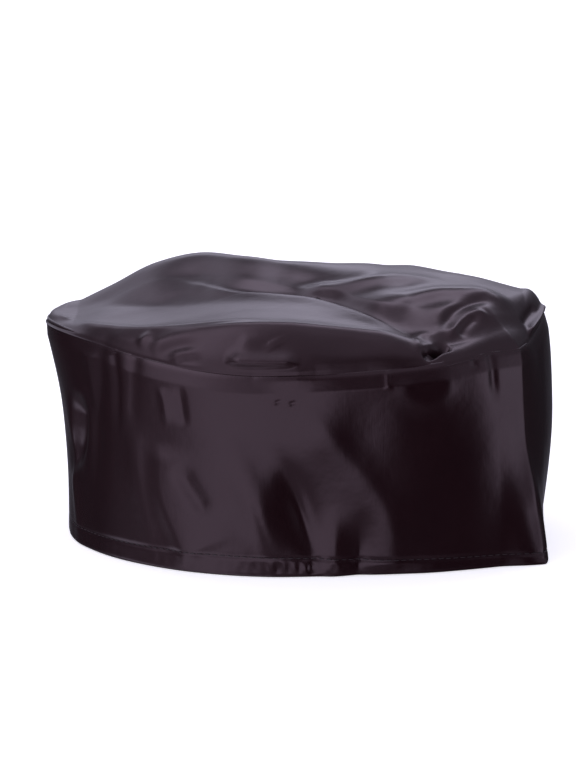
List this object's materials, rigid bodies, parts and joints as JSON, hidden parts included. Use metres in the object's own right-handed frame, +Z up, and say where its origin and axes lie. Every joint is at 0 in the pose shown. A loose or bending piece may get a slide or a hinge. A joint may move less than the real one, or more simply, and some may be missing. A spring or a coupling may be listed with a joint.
{
  "type": "kippah",
  "caption": "Deep soft kippah in dark satin: a tall hemmed band pressed into a crease at one side and a slack oval crown sewn to its top edge.",
  "frame": {"origin": "middle of the bounding box's underside, on the plane that the rim rests on", "axes": "+Z up out of the crown, +X to the right across the brow, -Y towards the brow, which the picture shows"},
  "size_m": [0.1998, 0.174, 0.1086],
  "materials": {
    "band_satin": "smooth dark aubergine satin with a soft shine",
    "crown_satin": "smooth dark aubergine satin with a soft shine"
  },
  "bodies": {
    "root": {"band": "band_satin", "crown": "crown_satin"}
  },
  "joints": []
}
